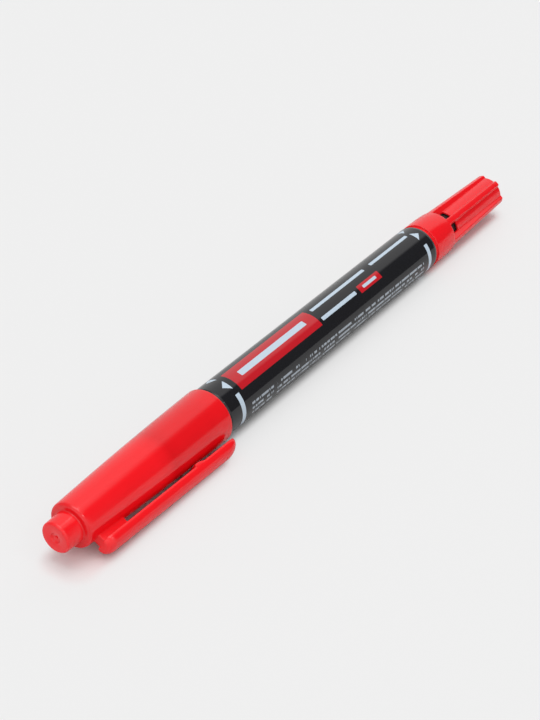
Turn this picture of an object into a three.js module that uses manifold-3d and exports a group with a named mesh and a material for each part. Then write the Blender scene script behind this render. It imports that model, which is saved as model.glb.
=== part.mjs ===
// A double-ended permanent marker lying on its side: a broad tip under a clipped cap at one end,
// a fine tip under a ribbed cap at the other. Millimetres, +X along the pen towards the fine end,
// +Z up. Until the last lines, x = 0 is the shoulder of the barrel where the broad cap seats.
import * as THREE from "three";
import { mergeVertices } from "three/addons/utils/BufferGeometryUtils.js";
import Module from "manifold-3d";

const wasm = await Module();
wasm.setup();

// Facets round the pen, and steps on a rounded corner
const ROUND = 48;
const ROUND_SMALL = 24;
const CORNER_STEPS = 4;

// Barrel
const BARREL_RADIUS = 4.78;
const BARREL_WALL = 0.9;
const BODY_LENGTH = 70.42;
const SHOULDER_STEP = 0.5;
const FINE_SHOULDER_STEP = 0.62;
const BROAD_NECK = 7.4;
const FINE_NECK = 6.4;
const EDGE_BREAK = 0.2;

// Printed film round the barrel
const LABEL_THICKNESS = 0.05;
const LABEL_MARGIN = 0.25;

// Fits
const CAP_FIT = 0.06;
const PLUG_FIT = 0.03;
const CAP_SEAT = 0.1;
const BEAD_HEIGHT = 0.03;
const BEAD_LENGTH = 1.2;
const BEAD_PLACE = 4.5;
const GROOVE_DEPTH = 0.1;

// Broad tip
const NOSE_PLUG = 8;
const NOSE_FLANGE = 1.2;
const FLANGE_INSET = 0.06;
const BROAD_CONE = 3.4;
const BROAD_COLLAR_RADIUS = 3;
const BROAD_COLLAR = 8.6;
const BROAD_FRONT = 4.8;
const BROAD_FRONT_RADIUS = 2.75;
const BULLET_RADIUS = 2.25;
const BULLET_SHOWS = 5.6;
const BULLET_TIP_RADIUS = 1.1;
const BULLET_TIP_ARC = 65;
const BULLET_TIP_LENGTH = 3.4;
const BULLET_TAIL = 5.5;
const BULLET_TAIL_RADIUS = 1.6;

// Broad cap
const BIG_CAP_MOUTH_WALL = 0.95;
const BIG_CAP_END_RADIUS = 4.2;
const BIG_CAP_BELLY = 0.18;
const BIG_CAP_RIM = 0.55;
const BIG_CAP_END_WALL = 2;
const BIG_CAP_SIDE_WALL = 0.75;
const BIG_CAP_GRIP = 10;
const STUB_LENGTH = 3.6;
const STUB_RADIUS = 2.85;
const STUB_DRAFT = 0.1;
const STUB_FILLET = 0.4;
const STUB_END_WALL = 1.2;
const DIMPLE_RADIUS = 0.95;
const DIMPLE_DEPTH = 0.35;
const GATE_NUB = 0.3;

// Sealing cup inside the broad cap
const TIP_ROOM = 3;
const LINER_WALL = 0.45;
const LINER_FLOOR = 0.8;
const LINER_OVERLAP = 4;
const LINER_STEM_RADIUS = 1.72;
const LINER_STEM = 3.7;

// Clip on the broad cap, as an angle below the horizontal and distances out from the pen's axis
const CLIP_ANGLE = 29;
const CLIP_WIDTH = 4.5;
const CLIP_THICKNESS = 2.12;
const CLIP_FLANK = 0.5;
const CLIP_GAP_ROOT = 1.2;
const CLIP_GAP_TIP = 0.78;
const CLIP_START = 1.65;
const CLIP_TAIL_ROUND = 1.6;
const BRIDGE_START = 2.05;
const BRIDGE_LENGTH = 5.85;
const BRIDGE_WIDTH = 2.2;
const HINGE_AHEAD = 0.4;
const HINGE_GAP = 0.3;
const CLIP_TIP_SHORT = 1;
const CLIP_NOSE = 2.4;
const CLIP_BLUNT = 0.55;
const CLIP_END_DEPTH = 0.35;
const RIDGE_FROM_TIP = 8.4;
const RIDGE_LENGTH = 2.4;
const RIDGE_HEIGHT = 0.4;
const RIDGE_STEP = 0.15;

// Fine tip
const FINE_FLANGE = 0.6;
const FINE_BODY_RADIUS = 2.95;
const FINE_BODY = 4;
const FINE_CONE = 1.2;
const FINE_NECK_RADIUS = 2.42;
const FINE_NECK_LENGTH = 4.3;
const FINE_FRONT = 3.8;
const FINE_FRONT_RADIUS = 1.35;
const SLEEVE_RADIUS = 0.9;
const SLEEVE_WALL = 0.4;
const SLEEVE_INSIDE = 8;
const SLEEVE_SHOWS = 2.4;
const SLEEVE_TIP_RADIUS = 0.66;
const FINE_NIB_SHOWS = 1.3;
const FINE_NIB_TAIL = 6;

// Ribbed cap. Rib angles are half angles as seen from the pen's axis, in degrees.
const MOUTH_STEP = 0.33;
const MOUTH_LENGTH = 0.8;
const MOUTH_EDGE = 0.15;
const SHOULDER_LENGTH = 3.1;
const SHOULDER_DROP = 0.15;
const SHOULDER_LAND = 0.55;
const RIB_COUNT = 6;
const RIB_FACING = 7;
const RIB_CREST = 7.5;
const RIB_FOOT = 13;
const RIB_FLARE = 1.15;
const RIB_FLARE_LENGTH = 2.5;
const RIB_END_RADIUS = 3.94;
const RIB_END_ROUND = 0.4;
const FLUTE_WALL = 0.3;
const FLUTE_RAMP = 0.1;
const WINDOW_LENGTH = 3.05;
const WINDOW_MARGIN = 0.6;
const WINDOW_PAST = 0.3;
const BODY_FIT = 0.15;
const SEAL_FIT = 0.08;
const INNER_END_RADIUS = 1.95;
const FINE_ROOM = 3;
const FINE_END_WALL = 2.4;

// Ink store
const RESERVOIR_GAP = 0.2;
const FILM_THICKNESS = 0.1;
const FILM_FIT = 0.02;
const RESERVOIR_CLEAR = 1.5;

// Derived places and radii
const boreRadius = BARREL_RADIUS - BARREL_WALL;
const neckRadius = BARREL_RADIUS - SHOULDER_STEP;
const fineNeckRadius = BARREL_RADIUS - FINE_SHOULDER_STEP;
const plugRadius = boreRadius - PLUG_FIT;
const capBore = neckRadius + CAP_FIT;
const fineCapBore = fineNeckRadius + CAP_FIT;

const broadBarrelEnd = -BROAD_NECK;
const broadFlangeEnd = broadBarrelEnd - NOSE_FLANGE;
const broadConeEnd = broadFlangeEnd - BROAD_CONE;
const broadCollarEnd = broadConeEnd - BROAD_COLLAR;
const broadNoseEnd = broadCollarEnd - BROAD_FRONT;
const bulletTip = broadNoseEnd - BULLET_SHOWS;

const linerFloorInside = bulletTip - TIP_ROOM;
const linerFloorOutside = linerFloorInside - LINER_FLOOR;
const linerBore = BROAD_COLLAR_RADIUS + CAP_FIT;
const linerRadius = linerBore + LINER_WALL;
const linerMouth = broadCollarEnd + LINER_OVERLAP;

const bigCapMouth = -CAP_SEAT;
const bigCapFloor = linerFloorOutside - PLUG_FIT;
const bigCapFace = bigCapFloor - BIG_CAP_END_WALL;
const stubFace = bigCapFace - STUB_LENGTH;
const stubBoreEnd = stubFace + STUB_END_WALL;
const bigCapMouthRadius = capBore + BIG_CAP_MOUTH_WALL;

const fineShoulder = BODY_LENGTH;
const fineBarrelEnd = fineShoulder + FINE_NECK;
const fineFlangeEnd = fineBarrelEnd + FINE_FLANGE;
const fineBodyEnd = fineFlangeEnd + FINE_BODY;
const fineConeEnd = fineBodyEnd + FINE_CONE;
const fineNeckEnd = fineConeEnd + FINE_NECK_LENGTH;
const fineNoseEnd = fineNeckEnd + FINE_FRONT;
const sleeveEnd = fineNoseEnd + SLEEVE_SHOWS;
const fineTip = sleeveEnd + FINE_NIB_SHOWS;

const fineCapMouth = fineShoulder + CAP_SEAT;
const fineCapInnerEnd = fineTip + FINE_ROOM;
const ribEnd = fineCapInnerEnd + FINE_END_WALL;
const fluteStart = fineFlangeEnd + SHOULDER_LAND;
const windowEnd = fluteStart + WINDOW_LENGTH;
const ribSector = 360 / RIB_COUNT;
const ribTurns = Array.from({ length: RIB_COUNT }, (_, k) => RIB_FACING + k * ribSector);
const shoulderRadius = BARREL_RADIUS - SHOULDER_DROP;
const windowBore = FINE_BODY_RADIUS + BODY_FIT;
const fluteRadius = windowBore + FLUTE_WALL;
const sealBore = FINE_NECK_RADIUS + SEAL_FIT;

const reservoirStart = broadBarrelEnd + NOSE_PLUG + RESERVOIR_CLEAR;
const reservoirEnd = fineBarrelEnd - NOSE_PLUG - RESERVOIR_CLEAR;
const filmRadius = boreRadius - RESERVOIR_GAP;
const filmBore = filmRadius - FILM_THICKNESS;
const fibreRadius = filmBore - FILM_FIT;
const nibRadius = SLEEVE_RADIUS - SLEEVE_WALL - PLUG_FIT;

// Colours and finishes
const red = { color: 0xe3242c, roughness: 0.22, metalness: 0 };
const black = { color: 0x1c1c1f, roughness: 0.35, metalness: 0 };
const film = { color: 0x222225, roughness: 0.2, metalness: 0 };
const clear = { color: 0xdfe6e8, roughness: 0.15, metalness: 0 };
const fibre = { color: 0x7a1418, roughness: 0.95, metalness: 0 };
const sleevePlastic = { color: 0xd8d8d6, roughness: 0.4, metalness: 0 };

// Solid of revolution about the pen's axis. Points are [x, radius]; the outer wall runs towards +X.
function revolve(points, facets = ROUND) {
  const profile = points.map(([x, r]) => new THREE.Vector2(r, x));
  return new THREE.LatheGeometry(profile, facets).rotateZ(-Math.PI / 2);
}

// Even shares from 0 to 1 along a rounded corner, and the angle each has on a quarter turn
const shares = Array.from({ length: CORNER_STEPS + 1 }, (_, i) => i / CORNER_STEPS);
const quarterTurn = (share) => (share * Math.PI) / 2;

// Points on a rounded corner: centre, radius, and the angles it runs between, from +X towards +r
function corner(x, r, radius, fromDegrees, toDegrees) {
  return shares.map((t) => {
    const a = THREE.MathUtils.degToRad(THREE.MathUtils.lerp(fromDegrees, toDegrees, t));
    return [x + radius * Math.cos(a), r + radius * Math.sin(a)];
  });
}

// Closed skin over rings of points that all have the same count, with a flat fan on each end
function skin(rings) {
  const count = rings[0].length;
  const centre = (ring) => ring.reduce((s, p) => s.add(p), new THREE.Vector3()).divideScalar(count);
  const points = [...rings.flat(), centre(rings[0]), centre(rings.at(-1))];
  const first = points.length - 2;
  const last = points.length - 1;
  const top = (rings.length - 1) * count;
  const index = [];
  for (let j = 0; j < count; j++) {
    const k = (j + 1) % count;
    for (let i = 0; i < rings.length - 1; i++) {
      const a = i * count;
      const b = a + count;
      index.push(a + j, a + k, b + k, a + j, b + k, b + j);
    }
    index.push(first, k, j, last, top + j, top + k);
  }
  return new THREE.BufferGeometry().setFromPoints(points).setIndex(index);
}

function toSolid(geometry) {
  const bare = geometry.clone();
  bare.deleteAttribute("normal");
  bare.deleteAttribute("uv");
  const merged = mergeVertices(bare);
  return new wasm.Manifold(
    new wasm.Mesh({
      numProp: 3,
      vertProperties: merged.attributes.position.array,
      triVerts: new Uint32Array(merged.index.array),
    }),
  );
}

function toGeometry(solid) {
  const mesh = solid.getMesh();
  const geometry = new THREE.BufferGeometry();
  geometry.setAttribute("position", new THREE.BufferAttribute(mesh.vertProperties, 3));
  geometry.setIndex(new THREE.BufferAttribute(mesh.triVerts, 1));
  geometry.computeVertexNormals();
  return geometry;
}

function piece(name, geometry, finish) {
  const mesh = new THREE.Mesh(geometry, new THREE.MeshStandardMaterial(finish));
  mesh.name = name;
  return mesh;
}

// Barrel: a tube with a stepped-down neck and a light snap bead at each end
function barrelTube() {
  const neck = (end, shoulder, radius, way) => [
    [end, radius - EDGE_BREAK],
    [end - way * EDGE_BREAK, radius],
    [shoulder + way * (BEAD_PLACE + BEAD_LENGTH), radius],
    [shoulder + way * (BEAD_PLACE + BEAD_LENGTH / 2), radius + BEAD_HEIGHT],
    [shoulder + way * BEAD_PLACE, radius],
    [shoulder, radius],
    [shoulder, BARREL_RADIUS - EDGE_BREAK],
    [shoulder - way * EDGE_BREAK, BARREL_RADIUS],
  ];
  const profile = [
    [broadBarrelEnd, boreRadius],
    ...neck(broadBarrelEnd, 0, neckRadius, -1),
    ...neck(fineBarrelEnd, fineShoulder, fineNeckRadius, 1).reverse(),
    [fineBarrelEnd, boreRadius],
    [broadBarrelEnd, boreRadius],
  ];
  return piece("barrel_tube", revolve(profile), black);
}

// The film covers the barrel from shoulder to shoulder, short of the broken edges
function labelSleeve() {
  const inner = BARREL_RADIUS + FILM_FIT / 2;
  const outer = inner + LABEL_THICKNESS;
  const start = EDGE_BREAK + LABEL_MARGIN;
  const end = fineShoulder - EDGE_BREAK - LABEL_MARGIN;
  const profile = [[start, inner], [start, outer], [end, outer], [end, inner], [start, inner]];
  return piece("label_sleeve", revolve(profile), film);
}

// Fibre rod, with a blind hole at each end for the tails of the two tips
function inkReservoir() {
  const profile = [
    [reservoirStart + BULLET_TAIL + PLUG_FIT, 0],
    [reservoirStart + BULLET_TAIL + PLUG_FIT, BULLET_TAIL_RADIUS + PLUG_FIT],
    [reservoirStart, BULLET_TAIL_RADIUS + PLUG_FIT],
    [reservoirStart, fibreRadius],
    [reservoirEnd, fibreRadius],
    [reservoirEnd, nibRadius + PLUG_FIT],
    [reservoirEnd - FINE_NIB_TAIL - PLUG_FIT, nibRadius + PLUG_FIT],
    [reservoirEnd - FINE_NIB_TAIL - PLUG_FIT, 0],
  ];
  return piece("ink_reservoir", revolve(profile, ROUND_SMALL), fibre);
}

function reservoirFilm() {
  const profile = [
    [reservoirStart, filmBore],
    [reservoirStart, filmRadius],
    [reservoirEnd, filmRadius],
    [reservoirEnd, filmBore],
    [reservoirStart, filmBore],
  ];
  return piece("reservoir_film", revolve(profile, ROUND_SMALL), clear);
}

// Tip holder of the broad end: cone, sealing collar and a plug that presses into the barrel
function broadNose() {
  const bore = BULLET_RADIUS + PLUG_FIT;
  const plugEnd = broadBarrelEnd + NOSE_PLUG;
  const flangeRadius = neckRadius - FLANGE_INSET;
  const profile = [
    [broadNoseEnd, bore],
    [broadNoseEnd, BROAD_FRONT_RADIUS - EDGE_BREAK],
    [broadNoseEnd + EDGE_BREAK, BROAD_FRONT_RADIUS],
    [broadCollarEnd, BROAD_COLLAR_RADIUS],
    [broadConeEnd, BROAD_COLLAR_RADIUS],
    [broadFlangeEnd, flangeRadius],
    [broadBarrelEnd - PLUG_FIT, flangeRadius],
    [broadBarrelEnd - PLUG_FIT, plugRadius],
    [plugEnd - EDGE_BREAK, plugRadius],
    [plugEnd, plugRadius - EDGE_BREAK],
    [plugEnd, bore],
    [broadNoseEnd, bore],
  ];
  return piece("broad_nose", revolve(profile), black);
}

// Broad tip: a fibre rod with a bullet-shaped point and a thinner tail in the ink store
function bulletNib() {
  const shoulder = bulletTip + BULLET_TIP_LENGTH;
  const nose = corner(bulletTip + BULLET_TIP_RADIUS, 0, BULLET_TIP_RADIUS, 180, 180 - BULLET_TIP_ARC);
  const tailStart = reservoirStart - RESERVOIR_CLEAR / 2;
  const profile = [
    ...nose,
    [shoulder - EDGE_BREAK, BULLET_RADIUS - EDGE_BREAK],
    [shoulder, BULLET_RADIUS],
    [tailStart - EDGE_BREAK, BULLET_RADIUS],
    [tailStart, BULLET_TAIL_RADIUS],
    [reservoirStart + BULLET_TAIL, BULLET_TAIL_RADIUS],
    [reservoirStart + BULLET_TAIL, 0],
  ];
  return piece("bullet_nib", revolve(profile, ROUND_SMALL), fibre);
}

// Tip holder of the fine end: a flange on the barrel's end, then the body that the cap's windows look onto
function fineNose() {
  const sleeveBore = SLEEVE_RADIUS + PLUG_FIT;
  const wickBore = nibRadius + PLUG_FIT;
  const sleeveSeat = fineNoseEnd - SLEEVE_INSIDE;
  const plugEnd = fineBarrelEnd - NOSE_PLUG;
  const flangeRadius = fineNeckRadius - FLANGE_INSET;
  const profile = [
    [plugEnd, wickBore],
    [plugEnd, plugRadius - EDGE_BREAK],
    [plugEnd + EDGE_BREAK, plugRadius],
    [fineBarrelEnd + PLUG_FIT, plugRadius],
    [fineBarrelEnd + PLUG_FIT, flangeRadius],
    [fineFlangeEnd, flangeRadius],
    [fineFlangeEnd, FINE_BODY_RADIUS],
    [fineBodyEnd, FINE_BODY_RADIUS],
    [fineConeEnd, FINE_NECK_RADIUS],
    [fineNeckEnd, FINE_NECK_RADIUS],
    [fineNoseEnd, FINE_FRONT_RADIUS],
    [fineNoseEnd, sleeveBore],
    [sleeveSeat - PLUG_FIT, sleeveBore],
    [sleeveSeat - PLUG_FIT, wickBore],
    [plugEnd, wickBore],
  ];
  return piece("fine_nose", revolve(profile), black);
}

function fineNibSleeve() {
  const bore = nibRadius + PLUG_FIT;
  const start = fineNoseEnd - SLEEVE_INSIDE;
  const profile = [
    [start, bore],
    [start, SLEEVE_RADIUS],
    [fineNoseEnd, SLEEVE_RADIUS],
    [sleeveEnd, SLEEVE_TIP_RADIUS],
    [sleeveEnd, bore],
    [start, bore],
  ];
  return piece("fine_nib_sleeve", revolve(profile, ROUND_SMALL), sleevePlastic);
}

function fineNib() {
  const tail = reservoirEnd - FINE_NIB_TAIL;
  const profile = [[tail, 0], [tail, nibRadius], ...corner(fineTip - nibRadius, 0, nibRadius, 90, 0)];
  return piece("fine_nib", revolve(profile, ROUND_SMALL), fibre);
}

// Outside radius of the broad cap: straight taper plus a slight belly
function bigCapRadius(x) {
  const t = (x - bigCapFace) / (bigCapMouth - bigCapFace);
  return THREE.MathUtils.lerp(BIG_CAP_END_RADIUS, bigCapMouthRadius, t) + 4 * BIG_CAP_BELLY * t * (1 - t);
}

// Outside of the broad cap with its stub and gate dimple
function bigCapOutside() {
  const rimX = bigCapFace + BIG_CAP_RIM;
  const rimRadius = bigCapRadius(rimX) - BIG_CAP_RIM;
  const wallSteps = 8;
  const wall = Array.from({ length: wallSteps }, (_, i) => {
    const x = THREE.MathUtils.lerp(rimX, bigCapMouth - EDGE_BREAK, (i + 1) / wallSteps);
    return [x, bigCapRadius(x)];
  });
  const profile = [
    [stubFace + DIMPLE_DEPTH - GATE_NUB / 2, 0],
    [stubFace + DIMPLE_DEPTH - GATE_NUB / 2, GATE_NUB],
    [stubFace + DIMPLE_DEPTH, GATE_NUB],
    [stubFace + DIMPLE_DEPTH, DIMPLE_RADIUS - DIMPLE_DEPTH],
    [stubFace, DIMPLE_RADIUS],
    ...corner(stubFace + STUB_FILLET, STUB_RADIUS - STUB_FILLET, STUB_FILLET, 180, 90),
    [bigCapFace, STUB_RADIUS + STUB_DRAFT],
    ...corner(rimX, rimRadius, BIG_CAP_RIM, 180, 90),
    ...wall,
    [bigCapMouth, bigCapMouthRadius - EDGE_BREAK],
    [bigCapMouth, 0],
  ];
  return revolve(profile);
}

// Hollow of the broad cap: stem socket, room for the cup, snap groove and a chamfered mouth
function bigCapHollow() {
  const stemBore = LINER_STEM_RADIUS + PLUG_FIT;
  const gripStart = bigCapMouth - BIG_CAP_GRIP;
  const halfway = (gripStart + bigCapFloor) / 2;
  const grooveMiddle = -(BEAD_PLACE + BEAD_LENGTH / 2);
  const inside = (x) => Math.min(bigCapRadius(x) - BIG_CAP_SIDE_WALL, capBore);
  const profile = [
    [stubBoreEnd, 0],
    [stubBoreEnd, stemBore],
    [bigCapFloor, stemBore],
    [bigCapFloor, linerRadius + CAP_FIT],
    [halfway, inside(halfway)],
    [gripStart, inside(gripStart)],
    [grooveMiddle - BEAD_LENGTH, capBore],
    [grooveMiddle, capBore + GROOVE_DEPTH],
    [grooveMiddle + BEAD_LENGTH, capBore],
    [bigCapMouth - EDGE_BREAK, capBore],
    [bigCapMouth + EDGE_BREAK, capBore + 2 * EDGE_BREAK],
    [bigCapMouth + EDGE_BREAK, 0],
  ];
  return revolve(profile);
}

// Clip: a D-shaped bar, flat towards the cap and crowned outwards
const clipRootX = bigCapFace + BRIDGE_START;
const clipTipX = bigCapMouth - CLIP_TIP_SHORT;
const clipTailX = bigCapFace + CLIP_START;
const hingeX = clipRootX + BRIDGE_LENGTH + HINGE_AHEAD;
const clipRootReach = bigCapRadius(clipRootX) + CLIP_GAP_ROOT;
const clipTipReach = bigCapRadius(clipTipX) + CLIP_GAP_TIP;
const clipTurn = Math.PI / 2 + THREE.MathUtils.degToRad(CLIP_ANGLE);

// Distance from the pen's axis to the clip's flat inner face
function clipReach(x) {
  return THREE.MathUtils.mapLinear(x, clipRootX, clipTipX, clipRootReach, clipTipReach);
}

// One section of the clip, in the plane across the pen with +Z as the clip's outward direction
function clipSection(x, width = 1, depth = 1, ridge = 0) {
  const half = (CLIP_WIDTH / 2) * width;
  const flank = CLIP_FLANK * depth;
  const crown = (CLIP_THICKNESS - CLIP_FLANK) * depth;
  const reach = clipReach(x);
  const crownSteps = 10;
  const ring = [new THREE.Vector3(x, half, reach - ridge)];
  for (let i = 0; i <= crownSteps; i++) {
    const a = (Math.PI * i) / crownSteps;
    ring.push(new THREE.Vector3(x, half * Math.cos(a), reach + flank + crown * Math.sin(a)));
  }
  ring.push(new THREE.Vector3(x, -half, reach - ridge));
  return ring;
}

// Sections that round off one end of the clip; a negative length rounds it towards -X
function clipEnd(x, length) {
  const last = Math.acos(CLIP_BLUNT);
  return Array.from({ length: CORNER_STEPS }, (_, i) => {
    const a = (last * (i + 1)) / CORNER_STEPS;
    const depth = THREE.MathUtils.lerp(CLIP_END_DEPTH, 1, Math.cos(a));
    return clipSection(x + (length * Math.sin(a)) / Math.sin(last), Math.cos(a), depth);
  });
}

// Turns what was built pointing up to the clip's place round the pen
function turnToClip(geometry) {
  return geometry.rotateX(clipTurn);
}

// Fixed root of the clip: rounded tail over a narrower bridge block that grows out of the cap
function clipRoot() {
  const tailX = clipTailX + CLIP_TAIL_ROUND;
  const rings = clipEnd(tailX, -CLIP_TAIL_ROUND).reverse();
  rings.push(clipSection(tailX), clipSection(hingeX - HINGE_GAP / 2));
  const foot = bigCapRadius(clipRootX) - BIG_CAP_SIDE_WALL;
  const top = clipReach(clipRootX) + CLIP_FLANK;
  const block = new THREE.BoxGeometry(BRIDGE_LENGTH, BRIDGE_WIDTH, top - foot);
  block.translate(clipRootX + BRIDGE_LENGTH / 2, 0, (top + foot) / 2);
  return toSolid(turnToClip(skin(rings))).add(toSolid(turnToClip(block)));
}

function largeCap() {
  const solid = toSolid(bigCapOutside()).add(clipRoot()).subtract(toSolid(bigCapHollow()));
  return piece("large_cap", toGeometry(solid), red);
}

// Free arm of the clip, with the grip ridge and a blunt bullet nose
function clipArm() {
  const ridgeX = clipTipX - RIDGE_FROM_TIP - RIDGE_LENGTH;
  const noseX = clipTipX - CLIP_NOSE;
  const rings = [
    clipSection(hingeX + HINGE_GAP / 2),
    clipSection(ridgeX),
    clipSection(ridgeX + RIDGE_STEP, 1, 1, RIDGE_HEIGHT),
    clipSection(ridgeX + RIDGE_LENGTH / 2, 1, 1, RIDGE_HEIGHT),
    clipSection(ridgeX + RIDGE_LENGTH),
    clipSection(noseX),
    ...clipEnd(noseX, CLIP_NOSE),
  ];
  return piece("clip_arm", turnToClip(skin(rings)), red);
}

// Sealing cup: its stem presses into the stub, its mouth closes on the collar of the broad nose
function largeCapLiner() {
  const stemEnd = linerFloorOutside - LINER_STEM;
  const profile = [
    [stemEnd, 0],
    [stemEnd, LINER_STEM_RADIUS],
    [linerFloorOutside, LINER_STEM_RADIUS],
    [linerFloorOutside, linerRadius],
    [linerMouth, linerRadius],
    [linerMouth, linerBore + EDGE_BREAK],
    [linerMouth - EDGE_BREAK, linerBore],
    [linerFloorInside, linerBore],
    [linerFloorInside, 0],
  ];
  return piece("large_cap_liner", revolve(profile), clear);
}

// How much wider the ribs are at one place along the cap: they flare into its shoulder
function ribWiden(x) {
  const t = THREE.MathUtils.clamp((x - fluteStart) / RIB_FLARE_LENGTH, 0, 1);
  return THREE.MathUtils.lerp(RIB_FLARE, 1, t);
}

function pointAt(x, r, degrees) {
  const a = THREE.MathUtils.degToRad(degrees);
  return new THREE.Vector3(x, r * Math.cos(a), r * Math.sin(a));
}

// One ring round the ribbed cap, with its own radius on the ribs and between them
function ribRing(x, ribRadius, fluteRadius) {
  const crest = RIB_CREST * ribWiden(x);
  const foot = RIB_FOOT * ribWiden(x);
  const floorSteps = 6;
  const sector = [-foot, -crest, 0, crest, foot].map((s) => [s, Math.abs(s) < foot ? ribRadius : fluteRadius]);
  for (let i = 1; i < floorSteps; i++) {
    sector.push([THREE.MathUtils.lerp(foot, ribSector - foot, i / floorSteps), fluteRadius]);
  }
  return ribTurns.flatMap((turn) => sector.map(([s, r]) => pointAt(x, r, turn + s)));
}

// Outside of the ribbed cap: round skirt flush with the barrel, domed shoulder, then ribs to a flat end
function fineCapOutside() {
  const crestAt = (x) => THREE.MathUtils.mapLinear(x, fluteStart, ribEnd, shoulderRadius, RIB_END_RADIUS);
  const round = (x, r) => ribRing(x, r, r);
  const ribbed = (x) => ribRing(x, crestAt(x), fluteRadius);
  const skirtStart = fineCapMouth + MOUTH_LENGTH;
  const shoulder = shares.map((t) =>
    round(fluteStart - SHOULDER_LENGTH * (1 - t), BARREL_RADIUS - SHOULDER_DROP * t ** 2),
  );
  const end = shares.map((t) => {
    const x = ribEnd - RIB_END_ROUND * (1 - Math.sin(quarterTurn(t)));
    const drop = RIB_END_ROUND * (1 - Math.cos(quarterTurn(t)));
    return ribRing(x, crestAt(x) - drop, fluteRadius - drop / 2);
  });
  return skin([
    round(fineCapMouth, BARREL_RADIUS - MOUTH_STEP),
    round(skirtStart - MOUTH_EDGE, BARREL_RADIUS - MOUTH_STEP),
    round(skirtStart, BARREL_RADIUS),
    ...shoulder,
    ribbed(fluteStart + FLUTE_RAMP),
    ribbed(fluteStart + RIB_FLARE_LENGTH),
    ...end,
  ]);
}

// Hollow of the ribbed cap: grip bore with a snap groove, room for the tip holder's body, and a seal
function fineCapHollow() {
  const grooveMiddle = fineShoulder + BEAD_PLACE + BEAD_LENGTH / 2;
  const profile = [
    [fineCapMouth - EDGE_BREAK, 0],
    [fineCapMouth - EDGE_BREAK, fineCapBore],
    [grooveMiddle - BEAD_LENGTH, fineCapBore],
    [grooveMiddle, fineCapBore + GROOVE_DEPTH],
    [grooveMiddle + BEAD_LENGTH, fineCapBore],
    [fineFlangeEnd + CAP_SEAT, fineCapBore],
    [fluteStart, windowBore],
    [fineBodyEnd + CAP_SEAT, windowBore],
    [fineConeEnd + CAP_SEAT, sealBore],
    [fineNeckEnd + CAP_FIT, sealBore],
    [fineCapInnerEnd, INNER_END_RADIUS],
    [fineCapInnerEnd, 0],
  ];
  return revolve(profile);
}

// Cutter for the vent window after one rib, from foot to foot and from the flute's floor to the hollow
function ventCut(turn) {
  const cutRing = (x) => {
    const from = RIB_FOOT * ribWiden(x) + WINDOW_MARGIN;
    const angles = shares.map((t) => turn + THREE.MathUtils.lerp(from, ribSector - from, t));
    const outer = angles.map((a) => pointAt(x, fluteRadius + WINDOW_PAST, a));
    const inner = angles.map((a) => pointAt(x, sealBore - WINDOW_PAST, a));
    return [...outer, ...inner.reverse()];
  };
  const start = fluteStart + FLUTE_RAMP / 2;
  return skin([start, (start + windowEnd) / 2, windowEnd].map(cutRing));
}

function fineCap() {
  const shell = toSolid(fineCapOutside()).subtract(toSolid(fineCapHollow()));
  const solid = ribTurns.reduce((cap, turn) => cap.subtract(toSolid(ventCut(turn))), shell);
  return piece("fine_cap", toGeometry(solid), red);
}

const marker = new THREE.Group();
marker.add(
  barrelTube(),
  labelSleeve(),
  inkReservoir(),
  reservoirFilm(),
  broadNose(),
  bulletNib(),
  fineNose(),
  fineNibSleeve(),
  fineNib(),
  largeCap(),
  largeCapLiner(),
  clipArm(),
  fineCap(),
);

// The origin goes to the middle of the footprint, level with the lowest point
const box = new THREE.Box3().setFromObject(marker, true);
const middle = box.getCenter(new THREE.Vector3());
marker.position.set(-middle.x, -middle.y, -box.min.z);

export default marker;
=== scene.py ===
import math

import bmesh
import bpy
from mathutils import Matrix, Vector


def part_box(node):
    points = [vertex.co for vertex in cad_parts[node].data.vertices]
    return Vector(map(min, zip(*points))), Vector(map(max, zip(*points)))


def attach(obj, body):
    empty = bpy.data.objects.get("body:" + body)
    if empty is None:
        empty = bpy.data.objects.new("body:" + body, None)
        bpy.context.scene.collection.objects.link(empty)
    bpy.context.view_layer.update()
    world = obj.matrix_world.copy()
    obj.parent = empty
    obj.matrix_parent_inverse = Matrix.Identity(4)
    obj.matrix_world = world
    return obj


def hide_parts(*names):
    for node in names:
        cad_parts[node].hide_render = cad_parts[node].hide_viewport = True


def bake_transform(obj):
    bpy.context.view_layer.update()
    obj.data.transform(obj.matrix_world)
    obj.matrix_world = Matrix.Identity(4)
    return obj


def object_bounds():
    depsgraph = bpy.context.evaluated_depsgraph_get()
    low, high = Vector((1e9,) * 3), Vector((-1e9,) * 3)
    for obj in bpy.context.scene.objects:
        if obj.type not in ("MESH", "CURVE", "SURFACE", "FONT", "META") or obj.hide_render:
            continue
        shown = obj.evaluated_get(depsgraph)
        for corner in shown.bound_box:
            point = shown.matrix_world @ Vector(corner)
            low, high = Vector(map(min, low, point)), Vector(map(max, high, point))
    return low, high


mm = 0.001
weldGap = 0.002 * mm  # points nearer than this become one
sharpDegrees = 34  # edges that turn by more stay sharp under smooth shading
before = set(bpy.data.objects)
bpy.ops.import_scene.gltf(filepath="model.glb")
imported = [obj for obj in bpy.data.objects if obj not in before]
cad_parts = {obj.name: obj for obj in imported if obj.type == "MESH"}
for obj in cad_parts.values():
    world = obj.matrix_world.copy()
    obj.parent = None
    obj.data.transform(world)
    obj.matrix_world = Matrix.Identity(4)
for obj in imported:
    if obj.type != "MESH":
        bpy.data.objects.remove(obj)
cadLow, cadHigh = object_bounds()

barrelLow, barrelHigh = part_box("barrel_tube")
penStart = cadLow[0]
axisY = (barrelLow[1] + barrelHigh[1]) / 2
axisZ = (barrelLow[2] + barrelHigh[2]) / 2
print("frame loaded, pen", round((cadHigh[0] - cadLow[0]) / mm, 2), "mm long")


# Places and small curve helpers

def penPoint(x, r, degrees):  # pen coordinates to the scene
    a = math.radians(degrees)
    return Vector((penStart + x * mm, axisY + r * mm * math.cos(a), axisZ + r * mm * math.sin(a)))


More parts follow.
